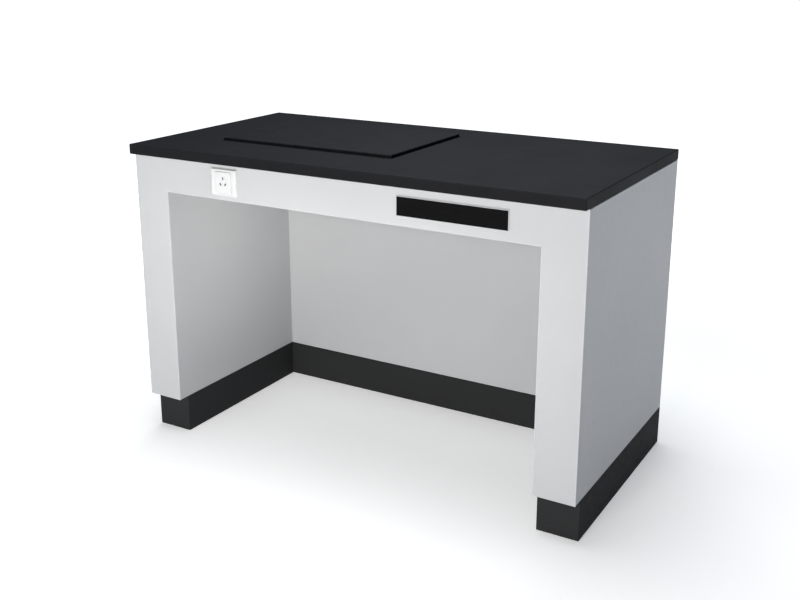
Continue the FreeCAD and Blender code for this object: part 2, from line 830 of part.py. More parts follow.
# Every object must be sound, and every pocket must take material away
for item in doc.Objects:
    if "Invalid" in item.State or "Error" in item.State:
        raise RuntimeError(f"{item.Name} ({item.Label}) is in state {item.State}")
    if item.TypeId == "PartDesign::Pocket" and item.Shape.Volume > item.BaseFeature.Shape.Volume - 0.01:
        raise RuntimeError(f"{item.Name} of {item.getParentGeoFeatureGroup().Label} cuts nothing")

os.makedirs("parts", exist_ok=True)
for item in made:
    if item.Shape.isNull() or not item.Shape.isValid() or not item.Shape.Solids:
        raise RuntimeError(f"{item.Label} has no sound solid")
    item.Shape.exportStep(f"parts/{item.Label}.step")
    print(f"{item.Label}: {len(item.Shape.Solids)} solids, {item.Shape.Volume / 1000:.1f} cm3")
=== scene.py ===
import json
import math
import bmesh
import bpy
from mathutils import Matrix, Vector


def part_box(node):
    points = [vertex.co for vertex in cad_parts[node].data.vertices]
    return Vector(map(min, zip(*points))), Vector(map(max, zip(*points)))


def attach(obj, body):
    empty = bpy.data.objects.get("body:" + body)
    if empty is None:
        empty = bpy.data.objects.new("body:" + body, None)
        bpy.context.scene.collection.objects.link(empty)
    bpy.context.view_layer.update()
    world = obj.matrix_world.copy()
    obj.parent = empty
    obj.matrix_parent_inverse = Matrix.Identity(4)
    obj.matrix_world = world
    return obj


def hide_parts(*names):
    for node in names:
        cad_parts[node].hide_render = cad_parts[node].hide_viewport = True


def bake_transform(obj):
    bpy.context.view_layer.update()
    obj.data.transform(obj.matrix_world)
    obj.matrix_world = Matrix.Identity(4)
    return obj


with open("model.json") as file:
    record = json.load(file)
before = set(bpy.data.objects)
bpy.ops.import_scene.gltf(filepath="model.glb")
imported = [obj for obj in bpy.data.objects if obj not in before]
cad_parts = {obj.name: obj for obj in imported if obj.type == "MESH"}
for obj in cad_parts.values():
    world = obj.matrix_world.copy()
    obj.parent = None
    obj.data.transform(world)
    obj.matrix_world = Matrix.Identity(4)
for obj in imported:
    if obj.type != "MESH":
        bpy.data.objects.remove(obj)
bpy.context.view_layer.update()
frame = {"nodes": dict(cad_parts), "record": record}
nodes = frame["nodes"]
mm = 0.001
print("stage: frame loaded")


# Materials: small tools for shader trees

class Finish:
    def __init__(self, name):
        self.material = bpy.data.materials.new(name)
        self.material.use_nodes = True
        self.tree = self.material.node_tree
        self.shader = self.tree.nodes["Principled BSDF"]
        self.coords = self.add("ShaderNodeTexCoord").outputs["Object"]

    def add(self, kind):
        return self.tree.nodes.new(kind)

    def link(self, source, target):
        self.tree.links.new(source, target)

    def stretched(self, x, y, z):
        mapping = self.add("ShaderNodeMapping")
        mapping.inputs["Scale"].default_value = (x, y, z)
        self.link(self.coords, mapping.inputs["Vector"])
        return mapping.outputs["Vector"]

    def noise(self, scale, detail=2, rough=0.5, coords=None):
        node = self.add("ShaderNodeTexNoise")
        node.inputs["Scale"].default_value = scale
        node.inputs["Detail"].default_value = detail
        node.inputs["Roughness"].default_value = rough
        self.link(coords or self.coords, node.inputs["Vector"])
        return node.outputs["Fac"]

    def cells(self, scale):
        node = self.add("ShaderNodeTexVoronoi")
        node.inputs["Scale"].default_value = scale
        self.link(self.coords, node.inputs["Vector"])
        return node.outputs["Color"]

    def range(self, value, low, high, newLow=0.0, newHigh=1.0):
        node = self.add("ShaderNodeMapRange")
        node.interpolation_type = "SMOOTHSTEP"
        limits = {"From Min": low, "From Max": high, "To Min": newLow, "To Max": newHigh}
        for name, number in limits.items():
            node.inputs[name].default_value = number
        self.link(value, node.inputs["Value"])
        return node.outputs["Result"]

    def height(self):
        node = self.add("ShaderNodeSeparateXYZ")
        self.link(self.coords, node.inputs["Vector"])
        return node.outputs["Z"]

    # 1 along sharp edges, 0 on the flat
    def edges(self, radius, samples=4, sharp=0.84, flat=0.995):
        rounded = self.add("ShaderNodeBevel")
        rounded.samples = samples
        rounded.inputs["Radius"].default_value = radius
        surface = self.add("ShaderNodeNewGeometry")
        agree = self.add("ShaderNodeVectorMath")
        agree.operation = "DOT_PRODUCT"
        self.link(rounded.outputs["Normal"], agree.inputs[0])
        self.link(surface.outputs["Normal"], agree.inputs[1])
        return self.range(agree.outputs["Value"], sharp, flat, 1.0, 0.0)

    def multiply(self, first, second):
        node = self.add("ShaderNodeMath")
        node.operation = "MULTIPLY"
        self.link(first, node.inputs[0])
        self.link(second, node.inputs[1])
        return node.outputs["Value"]

    def tint(self, factor, low, high):
        node = self.add("ShaderNodeMix")
        node.data_type = "RGBA"
        for socket, value in ((node.inputs[6], low), (node.inputs[7], high)):
            if isinstance(value, tuple):
                socket.default_value = (*value, 1.0)
            else:
                self.link(value, socket)
        self.link(factor, node.inputs[0])
        return node.outputs[2]

    def colour(self, value):
        self.link(value, self.shader.inputs["Base Color"])

    def roughness(self, value):
        self.link(value, self.shader.inputs["Roughness"])

    def gloss(self, level):
        self.shader.inputs["Specular IOR Level"].default_value = level

    def bump(self, *layers):
        normal = None
        for height, strength, distance in layers:
            node = self.add("ShaderNodeBump")
            node.inputs["Strength"].default_value = strength
            node.inputs["Distance"].default_value = distance
            self.link(height, node.inputs["Height"])
            if normal:
                self.link(normal, node.inputs["Normal"])
            normal = node.outputs["Normal"]
        self.link(normal, self.shader.inputs["Normal"])


def shade(tone, factor):
    return tuple(channel * factor for channel in tone)


# Fine orange-peel paint, with a painted highlight: a lighter colour along the sharp edges
coatPlan = {"cloudScale": 3.5, "fleckScale": 1900, "darkCloud": 0.982, "paleCloud": 1.014,
            "fleckTone": 1.1, "scuffTone": (0.16, 0.16, 0.155), "scuffStretch": (16, 16, 70),
            "scuffLow": 0.01, "scuffHigh": 0.11, "scuffFade": 0.12, "edgeWidth": 3.0 * mm,
            "sheenScale": 60, "peelScale": 620, "waveScale": 140}


def powderCoat(name, tone, rough, gloss=0.30, scuffs=0.0, edgeHighlightTone=1.1):
    plan = coatPlan
    finish = Finish(name)
    cloud = finish.noise(plan["cloudScale"], 3)
    fleck = finish.noise(plan["fleckScale"], 1)
    darkTone = shade(tone, plan["darkCloud"])
    paleTone = shade(tone, plan["paleCloud"])
    base = finish.tint(finish.range(cloud, 0.3, 0.7), darkTone, paleTone)
    mixed = finish.tint(finish.range(fleck, 0.56, 0.8), base, shade(tone, plan["fleckTone"]))
    if scuffs:
        streaks = finish.noise(1, 4, 0.65, finish.stretched(*plan["scuffStretch"]))
        low = finish.range(finish.height(), plan["scuffLow"], plan["scuffHigh"], 1.0, plan["scuffFade"])
        mask = finish.multiply(finish.range(streaks, 0.57, 0.72), low)
        mixed = finish.tint(finish.range(mask, 0.0, 1.0, 0.0, scuffs), mixed, plan["scuffTone"])
    # painted highlight: the colour is lightened along the sharp edges
    finish.colour(finish.tint(finish.edges(plan["edgeWidth"]), mixed, shade(tone, edgeHighlightTone)))
    sheen = finish.noise(plan["sheenScale"], 3)
    finish.roughness(finish.range(sheen, 0.25, 0.75, rough - 0.05, rough + 0.06))
    peel = finish.noise(plan["peelScale"], 2, 0.4)
    wave = finish.noise(plan["waveScale"], 1)
    finish.bump((peel, 0.12, 0.4 * mm), (wave, 0.05, 0.8 * mm))
    finish.gloss(gloss)
    return finish.material


# Matt black worktop with fine grit, faint wiped patches and a painted highlight along its edges
resinPlan = {"dark": (0.0075, 0.0078, 0.0092), "pale": (0.0092, 0.0095, 0.0110),
             "grit": (0.018, 0.0184, 0.0205), "edge": (0.020, 0.0204, 0.0225), "edgeWidth": 2.4 * mm,
             "cloudScale": 5, "gritScale": 1500, "wipeScale": 6, "grainScale": 900, "waveScale": 90,
             "smooth": 0.58, "rough": 0.64, "gloss": 0.07}


def resinTop(name):
    plan = resinPlan
    finish = Finish(name)
    cloud = finish.range(finish.noise(plan["cloudScale"], 4, 0.6), 0.3, 0.7)
    base = finish.tint(cloud, plan["dark"], plan["pale"])
    grit = finish.range(finish.noise(plan["gritScale"], 2), 0.6, 0.78)
    gritted = finish.tint(grit, base, plan["grit"])
    # painted highlight: a lighter colour along the sharp edges
    finish.colour(finish.tint(finish.edges(plan["edgeWidth"]), gritted, plan["edge"]))
    wiped = finish.noise(plan["wipeScale"], 4, 0.6)
    finish.roughness(finish.range(wiped, 0.3, 0.72, plan["smooth"], plan["rough"]))
    grain = finish.noise(plan["grainScale"], 2)
    wave = finish.noise(plan["waveScale"], 2)
    finish.bump((grain, 0.16, 0.3 * mm), (wave, 0.05, 0.6 * mm))
    finish.gloss(plan["gloss"])
    return finish.material


# Honed black stone with small crystals, a few painted glints and a painted highlight along its edges
granitePlan = {"dark": (0.0064, 0.0067, 0.0079), "pale": (0.0086, 0.0089, 0.0102),
               "crystal": (0.017, 0.0174, 0.0195), "glint": (0.10, 0.102, 0.108),
               "edge": (0.045, 0.046, 0.050), "edgeWidth": 2.4 * mm, "cloudScale": 26,
               "crystalScale": 420, "glintScale": 1300, "grainScale": 700, "smooth": 0.50,
               "rough": 0.60, "gloss": 0.07}


def granite(name):
    plan = granitePlan
    finish = Finish(name)
    cloud = finish.range(finish.noise(plan["cloudScale"], 4, 0.6), 0.3, 0.7)
    ground = finish.tint(cloud, plan["dark"], plan["pale"])
    grains = finish.cells(plan["crystalScale"])
    crystals = finish.range(grains, 0.62, 0.95, 0.0, 0.6)
    mixed = finish.tint(crystals, ground, plan["crystal"])
    # painted glints: scattered light specks in the base colour
    glints = finish.range(finish.noise(plan["glintScale"], 3, 0.7), 0.72, 0.86)
    honed = finish.tint(glints, mixed, plan["glint"])
    # painted highlight: a lighter colour along the sharp edges
    finish.colour(finish.tint(finish.edges(plan["edgeWidth"]), honed, plan["edge"]))
    finish.roughness(finish.range(grains, 0.1, 0.9, plan["smooth"], plan["rough"]))
    finish.bump((finish.noise(plan["grainScale"], 3), 0.07, 0.3 * mm))
    finish.gloss(plan["gloss"])
    return finish.material


# Bright metal with a faint crystal spangle
platePlan = {"spangleScale": 190, "darkSpangle": 0.86, "paleSpangle": 1.06, "sheenScale": 420,
             "grainScale": 1500}


def plated(name, tone, rough):
    plan = platePlan
    finish = Finish(name)
    spangle = finish.range(finish.cells(plan["spangleScale"]), 0.1, 0.9)
    finish.colour(finish.tint(spangle, shade(tone, plan["darkSpangle"]), shade(tone, plan["paleSpangle"])))
    sheen = finish.noise(plan["sheenScale"], 3)
    finish.roughness(finish.range(sheen, 0.3, 0.7, rough - 0.06, rough + 0.1))
    finish.bump((finish.noise(plan["grainScale"], 2), 0.08, 0.2 * mm))
    finish.shader.inputs["Metallic"].default_value = 1.0
    return finish.material


# Moulded plastic with a fine eroded grain
mouldingPlan = {"cloudScale": 45, "darkCloud": 0.97, "paleCloud": 1.02, "sheenScale": 300,
                "grainScale": 1700}


def moulded(name, tone, rough, grain):
    plan = mouldingPlan
    finish = Finish(name)
    cloud = finish.range(finish.noise(plan["cloudScale"], 2), 0.3, 0.7)
    finish.colour(finish.tint(cloud, shade(tone, plan["darkCloud"]), shade(tone, plan["paleCloud"])))
    sheen = finish.noise(plan["sheenScale"], 2)
    finish.roughness(finish.range(sheen, 0.3, 0.7, rough - 0.04, rough + 0.06))
    finish.bump((finish.noise(plan["grainScale"], 2), grain, 0.2 * mm))
    return finish.material


# Black rubber with a pale bloom
rubberPlan = {"dark": (0.014, 0.014, 0.0145), "bloom": (0.035, 0.035, 0.036), "bloomScale": 130,
              "sheenScale": 260, "grainScale": 900, "smooth": 0.62, "rough": 0.8}


def rubberMix(name):
    plan = rubberPlan
    finish = Finish(name)
    bloom = finish.range(finish.noise(plan["bloomScale"], 4, 0.65), 0.45, 0.75)
    finish.colour(finish.tint(bloom, plan["dark"], plan["bloom"]))
    sheen = finish.noise(plan["sheenScale"], 2)
    finish.roughness(finish.range(sheen, 0.3, 0.7, plan["smooth"], plan["rough"]))
    finish.bump((finish.noise(plan["grainScale"], 3), 0.25, 0.3 * mm))
    return finish.material


# Black film with fine streaks along the label
labelPlan = {"dark": (0.0036, 0.0036, 0.0040), "pale": (0.0060, 0.0060, 0.0066),
             "stretch": (30, 400, 1400), "smooth": 0.46, "rough": 0.58, "gloss": 0.02}


def labelFilm(name):
    plan = labelPlan
    finish = Finish(name)
    brushed = finish.noise(1, 3, 0.6, finish.stretched(*plan["stretch"]))
    streak = finish.range(brushed, 0.3, 0.7)
    finish.colour(finish.tint(streak, plan["dark"], plan["pale"]))
    finish.roughness(finish.range(brushed, 0.3, 0.7, plan["smooth"], plan["rough"]))
    finish.bump((brushed, 0.05, 0.2 * mm))
    finish.gloss(plan["gloss"])
    return finish.material


lightGrey = (0.447, 0.456, 0.473)
plinthBlack = (0.0250, 0.0258, 0.0272)
frameGrey = (0.30, 0.31, 0.32)
zincTone = (0.62, 0.63, 0.65)
brassTone = (0.72, 0.52, 0.22)
socketWhite = (0.578, 0.585, 0.598)
fittingBlack = (0.012, 0.012, 0.013)
holderGrey = (0.46, 0.473, 0.493)
finishes = {
    "casing_paint": powderCoat("casingPowderCoat", lightGrey, 0.44, gloss=0.18, edgeHighlightTone=1.42),
    "plinth_paint": powderCoat("plinthPowderCoat", plinthBlack, 0.62, gloss=0.03, scuffs=0.03),
    "frame_paint": powderCoat("framePowderCoat", frameGrey, 0.46),
    "zinc": plated("zincPlate", zincTone, 0.30),
    "white_plastic": moulded("whiteMoulding", socketWhite, 0.32, 0.05),
    "black_plastic": moulded("blackMoulding", fittingBlack, 0.52, 0.22),
    "black_label": labelFilm("blackLabelFilm"),
    "worktop_resin": resinTop("worktopResin"),
    "black_granite": granite("honedGranite"),
    "rubber": rubberMix("blackRubber"),
    "brass": plated("brassStrip", brassTone, 0.26),
}
finishByNode = {"label_holder": moulded("greyMoulding", holderGrey, 0.36, 0.05)}

# Pieces of the frame: their finish, and a fine rounding of the sharp edges in millimetres
roundingPlan = {"weldGap": 0.01, "segments": 2, "sharperThan": 50}
edgeRounds = {"casing_paint": 0.7, "plinth_paint": 0.7, "frame_paint": 0.8, "worktop_resin": 0.9,
              "black_granite": 0.5, "white_plastic": 0.35, "zinc": 0.25}
plainEdged = {"left_side_panel", "right_side_panel", "left_inner_panel", "right_inner_panel",
              "knee_back_panel", "left_plinth", "right_plinth", "rear_panel", "rear_plinth",
              "left_base_rail", "right_base_rail", "left_isolator_beam", "right_isolator_beam"}
for part in frame["record"]["subparts"]:
    name = part["node"]
    slot = part["material_slot"]
    node = nodes[name]
    node.data.materials.clear()
    node.data.materials.append(finishByNode.get(name, finishes[slot]))
    if slot in edgeRounds and name not in plainEdged:
        weld = node.modifiers.new("weld", "WELD")
        weld.merge_threshold = roundingPlan["weldGap"] * mm
        rounding = node.modifiers.new("edgeRound", "BEVEL")
        rounding.width = edgeRounds[slot] * mm
        rounding.segments = roundingPlan["segments"]
        rounding.limit_method = "ANGLE"
        rounding.angle_limit = math.radians(roundingPlan["sharperThan"])
        rounding.harden_normals = True
print("stage: CAD nodes finished")


# New pieces: small tools for meshes, with sizes in millimetres

mergeGap = 0.002
sharpAngle = 32


def newPiece(name, slotName, bodyName, shape, replaced=()):
    bmesh.ops.remove_doubles(shape, verts=shape.verts, dist=mergeGap)
    bmesh.ops.recalc_face_normals(shape, faces=shape.faces)
    bmesh.ops.scale(shape, vec=(mm, mm, mm), verts=shape.verts)
    mesh = bpy.data.meshes.new(name)
    shape.to_mesh(mesh)
    shape.free()
    mesh.polygons.foreach_set("use_smooth", [True] * len(mesh.polygons))
    mesh.set_sharp_from_angle(angle=math.radians(sharpAngle))
    mesh.materials.append(finishes[slotName])
    piece = bpy.data.objects.new(name, mesh)
    bpy.context.scene.collection.objects.link(piece)
    if replaced:
        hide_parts(*replaced)
    if bodyName:
        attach(piece, bodyName)
    return piece


def boxOf(nodeName):
    low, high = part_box(nodeName)
    return Vector(low) / mm, Vector(high) / mm


def middleOf(nodeName):
    low, high = boxOf(nodeName)
    return (low + high) / 2


def cornersAround(across, along, halfSpread):
    return [(across + a * halfSpread[0], along + b * halfSpread[1]) for a in (-1, 1) for b in (-1, 1)]


def at(x, y, z):
    return Matrix.Translation((x, y, z))


# Turned so that a shape made upwards points out of the back, or out of the front
def outOfBack(x, y, z):
    return at(x, y, z) @ Matrix.Rotation(math.radians(-90), 4, "X")


def outOfFront(x, y, z):
    return at(x, y, z) @ Matrix.Rotation(math.radians(90), 4, "X")


# Adds a copy of a shape to another one, moved to its place
def addCopy(whole, shape, place):
    copied = bpy.data.meshes.new("copied")
    shape.to_mesh(copied)
    copied.transform(place)
    whole.from_mesh(copied)
    bpy.data.meshes.remove(copied)


def copyAt(shape, place):
    whole = bmesh.new()
    addCopy(whole, shape, place)
    return whole


# Turned round the upright axis from points of radius and height
def lathe(profile, steps=48):
    shape = bmesh.new()
    verts = [shape.verts.new((radius, 0, height)) for radius, height in profile]
    edges = [shape.edges.new(pair) for pair in zip(verts, verts[1:])]
    bmesh.ops.spin(shape, geom=verts + edges, cent=(0, 0, 0), axis=(0, 0, 1), angle=2 * math.pi,
                   steps=steps, use_merge=True)
    bmesh.ops.remove_doubles(shape, verts=shape.verts, dist=mergeGap)
    return shape


def rimAt(shape, height):
    return [edge for edge in shape.edges
            if edge.is_boundary and all(abs(vert.co.z - height) < mergeGap for vert in edge.verts)]


# Hexagons: a turned blank with chamfered ends, then six flats cut off it
hexPlan = {"flats": 6, "faceShare": 0.48, "blankShare": 0.6, "chamferSlope": 0.6, "mouthWiden": 0.7,
           "mouthDepth": 0.4}


def hexBlank(across, low, high):
    face = across * hexPlan["faceShare"]
    blank = across * hexPlan["blankShare"]
    drop = (blank - face) * hexPlan["chamferSlope"]
    return [(face, low), (blank, low + drop), (blank, high - drop), (face, high)]


def cutFlats(shape, across):
    for i in range(hexPlan["flats"]):
        outward = Matrix.Rotation(2 * math.pi * i / hexPlan["flats"], 3, "Z") @ Vector((1, 0, 0))
        everything = shape.verts[:] + shape.edges[:] + shape.faces[:]
        cut = bmesh.ops.bisect_plane(shape, geom=everything, plane_co=outward * across / 2,
                                     plane_no=outward, clear_outer=True)
        rim = [item for item in cut["geom_cut"] if isinstance(item, bmesh.types.BMEdge)]
        bmesh.ops.holes_fill(shape, edges=rim, sides=0)


def hexNut(across, height, bore):
    mouth = bore + hexPlan["mouthWiden"]
    entry = hexPlan["mouthDepth"]
    inner = [(mouth, height), (bore, height - entry), (bore, entry), (mouth, 0)]
    nut = lathe(inner[-1:] + hexBlank(across, 0, height) + inner)
    cutFlats(nut, across)
    return nut


# A core with one closed ridge wound round it; the ridge's foot is sunk in the core
threadPlan = {"steps": 20, "coreSteps": 24, "depthShare": 0.61, "sink": 0.15, "footLow": 0.07,
              "crestLow": 0.44, "crestHigh": 0.56, "footHigh": 0.93, "plainTurns": 2, "runOut": 0.8,
              "seat": 0.5, "tip": 1}


def threadedRod(radius, pitch, length):
    plan = threadPlan
    steps = plan["steps"]
    root = radius - plan["depthShare"] * pitch
    sunk = root - plan["sink"]
    plain = radius - plan["sink"]
    turns = int(length / pitch) - plan["plainTurns"]
    rod = bmesh.new()
    corners = [(sunk, plan["footLow"]), (radius, plan["crestLow"]), (radius, plan["crestHigh"]),
               (sunk, plan["footHigh"])]
    ridge = rod.faces.new([rod.verts.new((reach, 0, share * pitch)) for reach, share in corners])
    bmesh.ops.spin(rod, geom=ridge.verts[:] + ridge.edges[:] + [ridge], cent=(0, 0, 0), axis=(0, 0, 1),
                   dvec=(0, 0, pitch / steps), angle=2 * math.pi * turns, steps=steps * turns)
    threadEnd = (turns + plan["runOut"]) * pitch
    coreProfile = [(0, -plan["seat"]), (root, -plan["seat"]), (root, threadEnd), (plain, threadEnd),
                   (plain, length - plan["tip"]), (radius - plan["tip"], length), (0, length)]
    addCopy(rod, lathe(coreProfile, plan["coreSteps"]), Matrix())
    return rod


# Levelling feet: gripped disc, hexagon stud with its thread, and the nut under the rail
footPlan = {"height": 8, "headAcross": 17, "headHeight": 7, "thread": 5, "pitch": 1.5,
            "threadLength": 71, "nutHeight": 10, "nutBore": 5.15, "discSteps": 72, "gripStep": 20,
            "gripWidth": 10, "gripStart": -2.5, "gripCut": 0.955, "gripFrom": 21, "gripAbove": 0.4}
footProfile = [(0, 0.8), (5, 0.8), (6, 0), (19.6, 0), (21.2, 0.5), (22, 2), (22, 5), (21.4, 6.4),
               (20, 7.1), (14.4, 7.3), (13.4, 7.5), (12.6, 8), (0, 8)]


def footDisc():
    disc = lathe(footProfile, footPlan["discSteps"])
    for vert in disc.verts:
        angle = math.degrees(math.atan2(vert.co.y, vert.co.x)) - footPlan["gripStart"]
        onRim = vert.co.xy.length > footPlan["gripFrom"] and vert.co.z > footPlan["gripAbove"]
        if onRim and angle % footPlan["gripStep"] < footPlan["gripWidth"]:
            vert.co.xy *= footPlan["gripCut"]
    return disc


def footStud():
    low = footPlan["height"]
    high = low + footPlan["headHeight"]
    stud = lathe([(0, low)] + hexBlank(footPlan["headAcross"], low, high) + [(0, high)])
    cutFlats(stud, footPlan["headAcross"])
    thread = threadedRod(footPlan["thread"], footPlan["pitch"], footPlan["threadLength"])
    addCopy(stud, thread, at(0, 0, high))
    return stud


nutLow = boxOf("foot_nuts")[0].z
footShape = footDisc()
studShape = footStud()
footNut = hexNut(footPlan["headAcross"], footPlan["nutHeight"], footPlan["nutBore"])
nutShape = bmesh.new()
for side in ("left", "right"):
    for end in ("front", "rear"):
        corner = side + "_" + end
        label = side.capitalize() + end.capitalize()
        spot = middleOf("foot_pad_" + corner)
        disc = copyAt(footShape, at(spot.x, spot.y, 0))
        newPiece("levellingFoot" + label, "black_plastic", "foot_" + corner, disc, ["foot_pad_" + corner])
        stud = copyAt(studShape, at(spot.x, spot.y, 0))
        newPiece("footStud" + label, "zinc", "stud_" + corner, stud, ["foot_stud_" + corner])
        addCopy(nutShape, footNut, at(spot.x, spot.y, nutLow))
newPiece("footNuts", "zinc", "table", nutShape, ["foot_nuts"])
print("stage: feet made")

# Isolators: waisted rubber blocks between table and carrier, and their nuts
isolatorPlan = {"halfSpread": (182, 118), "nutAcross": 13, "nutHeight": 6.5, "nutBore": 4.2}
isolatorProfile = [(0, 0), (15.2, 0), (16, 0.8), (16, 2.6), (15.4, 3.6), (13.9, 5.6), (13.3, 8),
                   (13.2, 10), (13.3, 12), (13.9, 14.4), (15.4, 16.4), (16, 17.4), (16, 19.2),
                   (15.2, 20), (0, 20)]
low, high = boxOf("isolator_rubbers")
middle = (low + high) / 2
nutLow = boxOf("isolator_nuts")[0].z
rubberBlock = lathe(isolatorProfile)
isolatorNut = hexNut(isolatorPlan["nutAcross"], isolatorPlan["nutHeight"], isolatorPlan["nutBore"])
rubberShape = bmesh.new()
nutShape = bmesh.new()
for x, y in cornersAround(middle.x, middle.y, isolatorPlan["halfSpread"]):
    addCopy(rubberShape, rubberBlock, at(x, y, low.z))
    addCopy(nutShape, isolatorNut, at(x, y, nutLow))
rubbers = newPiece("isolatorRubbers", "rubber", None, rubberShape, ["isolator_rubbers"])
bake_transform(rubbers)
newPiece("isolatorNuts", "zinc", "table", nutShape, ["isolator_nuts"])
print("stage: isolators made")

# Rear panel screws: pan heads with a cross recess
screwPlan = {"halfSpread": (591, 215), "height": 2.4, "arm": 2.1, "armHalf": 0.55, "recess": 1.3,
             "recessTaper": 0.72}
screwProfile = [(0, -9), (2, -9), (2, 0), (3.6, 0), (3.8, 0.3), (3.8, 1.0), (3.55, 1.6), (3.0, 2.1),
                (2.3, 2.4)]


def panScrew():
    screw = lathe(screwProfile)
    tall = screwPlan["height"]
    rim = rimAt(screw, tall)
    arm = screwPlan["arm"]
    half = screwPlan["armHalf"]
    armCorners = [Vector((arm, -half, tall)), Vector((arm, half, tall)), Vector((half, half, tall))]
    corners = []
    for quarter in range(4):
        turn = Matrix.Rotation(math.radians(90 * quarter), 3, "Z")
        corners += [screw.verts.new(turn @ corner) for corner in armCorners]
    cross = [screw.edges.new(pair) for pair in zip(corners, corners[1:] + corners[:1])]
    bmesh.ops.triangle_fill(screw, edges=rim + cross, use_beauty=True, normal=(0, 0, 1))
    sunk = bmesh.ops.extrude_edge_only(screw, edges=cross)["geom"]
    bottom = [item for item in sunk if isinstance(item, bmesh.types.BMVert)]
    taper = screwPlan["recessTaper"]
    bmesh.ops.scale(screw, vec=(taper, taper, 1), verts=bottom)
    bmesh.ops.translate(screw, vec=(0, 0, -screwPlan["recess"]), verts=bottom)
    bmesh.ops.holes_fill(screw, edges=rimAt(screw, tall - screwPlan["recess"]), sides=0)
    return screw


low, high = boxOf("rear_panel_screws")
middle = (low + high) / 2
rearScrew = panScrew()
screwShape = bmesh.new()
for x, z in cornersAround(middle.x, middle.z, screwPlan["halfSpread"]):
    addCopy(screwShape, rearScrew, outOfBack(x, high.y - screwPlan["height"], z))
newPiece("rearPanelScrews", "zinc", "table", screwShape, ["rear_panel_screws"])

# Cable grommet with a rounded lip
grommetProfile = [(5, 0.3), (5.3, 0), (7.6, 0), (8, 0.4), (8, 3.9), (10.4, 3.9), (11, 4.4), (11, 5.0),
                  (10.5, 5.8), (9.4, 6.25), (6.4, 6.3), (5.4, 6.0), (5, 5.4), (5, 0.3)]
grommetSteps = 56
low, high = boxOf("cable_grommet")
middle = (low + high) / 2
grommetShape = lathe(grommetProfile, grommetSteps)
grommetShape.transform(outOfBack(middle.x, low.y, middle.z))
newPiece("cableGrommet", "rubber", "table", grommetShape, ["cable_grommet"])
print("stage: rear fittings made")

# Power socket: cushioned frame, raised insert with three slots and shutters behind them
# Frame and insert rows are width, height, corner and depth; slot and shutter rows are growth and depth
socketFrameRows = [
    (67, 59, 2, 0),
    (74, 66, 4, 0),
    (74, 66, 4, 1.2),
    (73.4, 65.4, 3.9, 3.4),
    (72, 64, 3.6, 5.6),
    (70.6, 62.6, 3.2, 6.6),
    (69, 61, 2.8, 7),
    (53.4, 57.4, 2.6, 7),
    (52.8, 56.8, 2.5, 6.8),
    (52.2, 56.2, 2.4, 6.2),
    (49.4, 53.4, 2.4, 6.2),
    (48.6, 52.6, 2.3, 5.8),
    (48.6, 52.6, 2.3, 3.4),
    (67, 59, 2, 3.4),
]
socketInsertRows = [
    (48, 52, 2, 3),
    (48, 52, 2, 6.6),
    (47.7, 51.7, 1.9, 7.4),
    (47, 51, 1.7, 7.85),
    (46.2, 50.2, 1.5, 8),
    (45.6, 49.6, 1.3, 8),
]
slotPlan = {"width": 3.8, "length": 7.4, "places": ((0, 9.5, 0), (-7, -4.5, -30), (7, -4.5, 30))}
slotRows = [(0.3, 8), (0, 7.7), (0, 3)]
shutterRows = [(-0.05, 3.1), (-0.05, 6.3), (-0.5, 6.7)]
cornerSegments = 6
apronFace = boxOf("socket_frame")[1].y
middle = middleOf("socket_frame")
socketPlace = outOfFront(middle.x, apronFace, middle.z)


def flatLoop(shape, width, tall, place, corner=0):
    known = set(shape.faces)
    verts = bmesh.ops.create_grid(shape, x_segments=1, y_segments=1, size=0.5)["verts"]
    bmesh.ops.scale(shape, vec=(width, tall, 1), verts=verts)
    if corner:
        bmesh.ops.bevel(shape, geom=verts, offset=corner, offset_type="ABSOLUTE", segments=cornerSegments,
                        profile=0.5, affect="VERTICES", material=-1)
    sheet = [face for face in shape.faces if face not in known]
    bmesh.ops.transform(shape, matrix=place, verts=sheet[0].verts[:])
    rim = sheet[0].edges[:]
    bmesh.ops.delete(shape, geom=sheet, context="FACES_ONLY")
    return rim


def roundedLoop(shape, width, tall, corner, depth):
    return flatLoop(shape, width, tall, at(0, 0, depth), corner)


def slotLoop(shape, place, grow, depth):
    u, v, tilt = place
    turned = at(u, v, depth) @ Matrix.Rotation(math.radians(-tilt), 4, "Z")
    return flatLoop(shape, slotPlan["width"] + 2 * grow, slotPlan["length"] + 2 * grow, turned)


def fillBetween(shape, rims):
    bmesh.ops.triangle_fill(shape, edges=sum(rims, []), use_beauty=True, normal=(0, 0, 1))


def depthOf(loop):
    return loop[0].verts[0].co.z


# Walls between loops at different depths, flat rings between loops at one depth
def joinLoops(shape, loops):
    for lower, upper in zip(loops, loops[1:]):
        if abs(depthOf(lower) - depthOf(upper)) < mergeGap:
            fillBetween(shape, [lower, upper])
        else:
            bmesh.ops.bridge_loops(shape, edges=lower + upper)


frameShape = bmesh.new()
frameLoops = [roundedLoop(frameShape, *row) for row in socketFrameRows]
joinLoops(frameShape, frameLoops + frameLoops[:1])
frameShape.transform(socketPlace)
newPiece("socketFrame", "white_plastic", "table", frameShape, ["socket_frame"])

insertShape = bmesh.new()
shutterShape = bmesh.new()
insertLoops = [roundedLoop(insertShape, *row) for row in socketInsertRows]
joinLoops(insertShape, insertLoops)
frontRims = [insertLoops[-1]]
backRims = [insertLoops[0]]
for place in slotPlan["places"]:
    slotLoops = [slotLoop(insertShape, place, *row) for row in slotRows]
    joinLoops(insertShape, slotLoops)
    frontRims.append(slotLoops[0])
    backRims.append(slotLoops[-1])
    shutterLoops = [slotLoop(shutterShape, place, *row) for row in shutterRows]
    joinLoops(shutterShape, shutterLoops)
    bmesh.ops.holes_fill(shutterShape, edges=shutterLoops[0] + shutterLoops[-1], sides=0)
fillBetween(insertShape, frontRims)
fillBetween(insertShape, backRims)
insertShape.transform(socketPlace)
shutterShape.transform(socketPlace)
newPiece("socketInsert", "white_plastic", "table", insertShape, ["socket_insert"])
newPiece("socketShutters", "black_plastic", "table", shutterShape)
print("stage: socket made")

